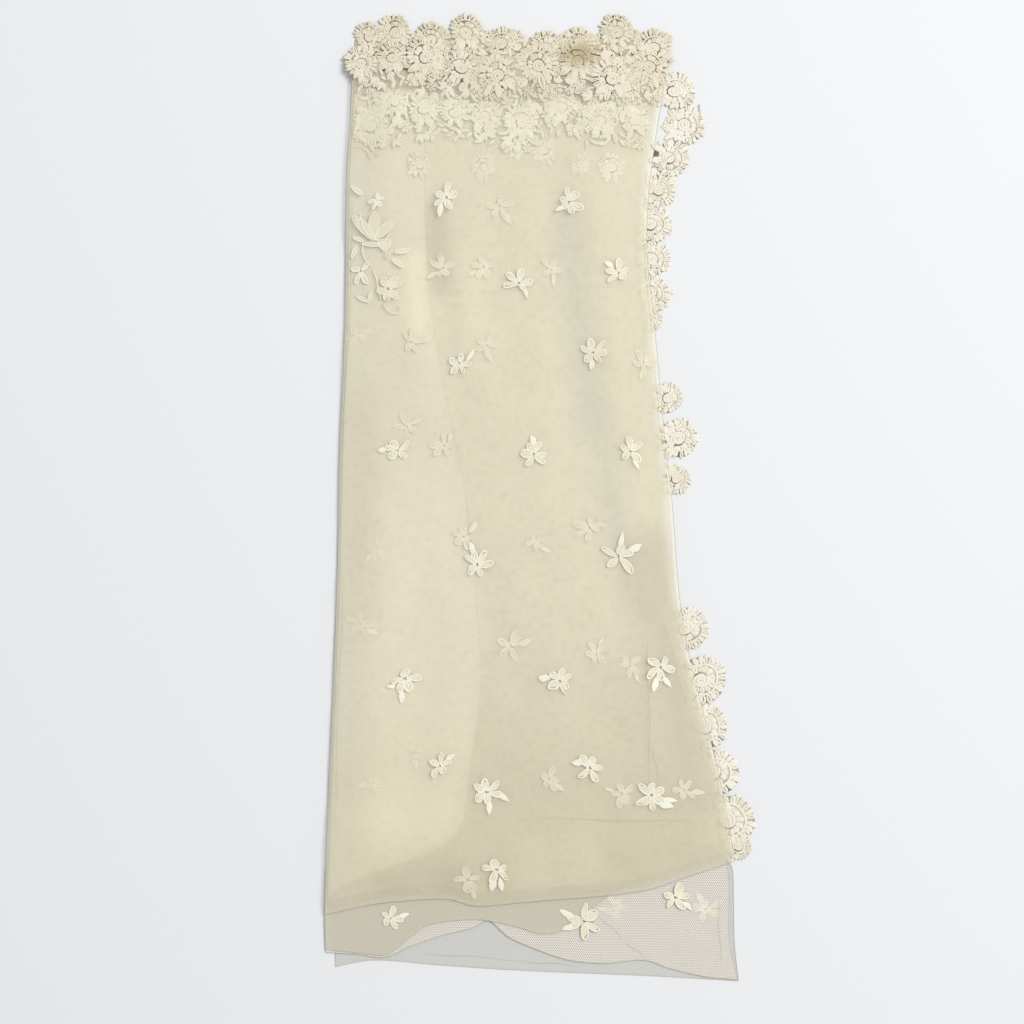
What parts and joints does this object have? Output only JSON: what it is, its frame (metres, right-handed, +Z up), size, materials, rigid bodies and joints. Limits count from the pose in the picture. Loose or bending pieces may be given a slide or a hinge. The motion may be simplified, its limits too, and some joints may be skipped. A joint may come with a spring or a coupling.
{
  "type": "bridal veil",
  "caption": "Folded bridal veil of cream net with scalloped lace borders, flower sprigs and a corner spray, lying flat in a low pile.",
  "frame": {"origin": "centre of the pile's outline, at the table it lies on", "axes": "+X across the pile toward its lace-edged side, +Y along the pile toward its lace-edged ends, +Z up from the table"},
  "size_m": [0.431, 0.9699, 0.0157],
  "materials": {
    "net": "soft cream net, matt, with a small hexagonal mesh",
    "lace": "ivory corded lace, matt, with a brown stain on one rosette"
  },
  "bodies": {
    "root": {"net_base": "net", "net_middle": "net", "net_core": "net", "net_inner": "net", "net_top": "net", "border_top_front": "lace", "border_top_back": "lace", "border_under": "lace", "border_side_upper": "lace", "border_side_middle": "lace", "border_side_lower": "lace", "corner_spray": "lace", "sprig_01": "lace", "sprig_02": "lace", "sprig_03": "lace", "sprig_04": "lace", "sprig_05": "lace", "sprig_06": "lace", "sprig_07": "lace", "sprig_08": "lace", "sprig_09": "lace", "sprig_10": "lace", "sprig_11": "lace", "sprig_12": "lace", "sprig_13": "lace", "sprig_14": "lace", "sprig_15": "lace", "sprig_16": "lace", "sprig_17": "lace", "sprig_18": "lace", "sprig_19": "lace", "sprig_20": "lace", "sprig_21": "lace", "sprig_22": "lace"}
  },
  "joints": []
}
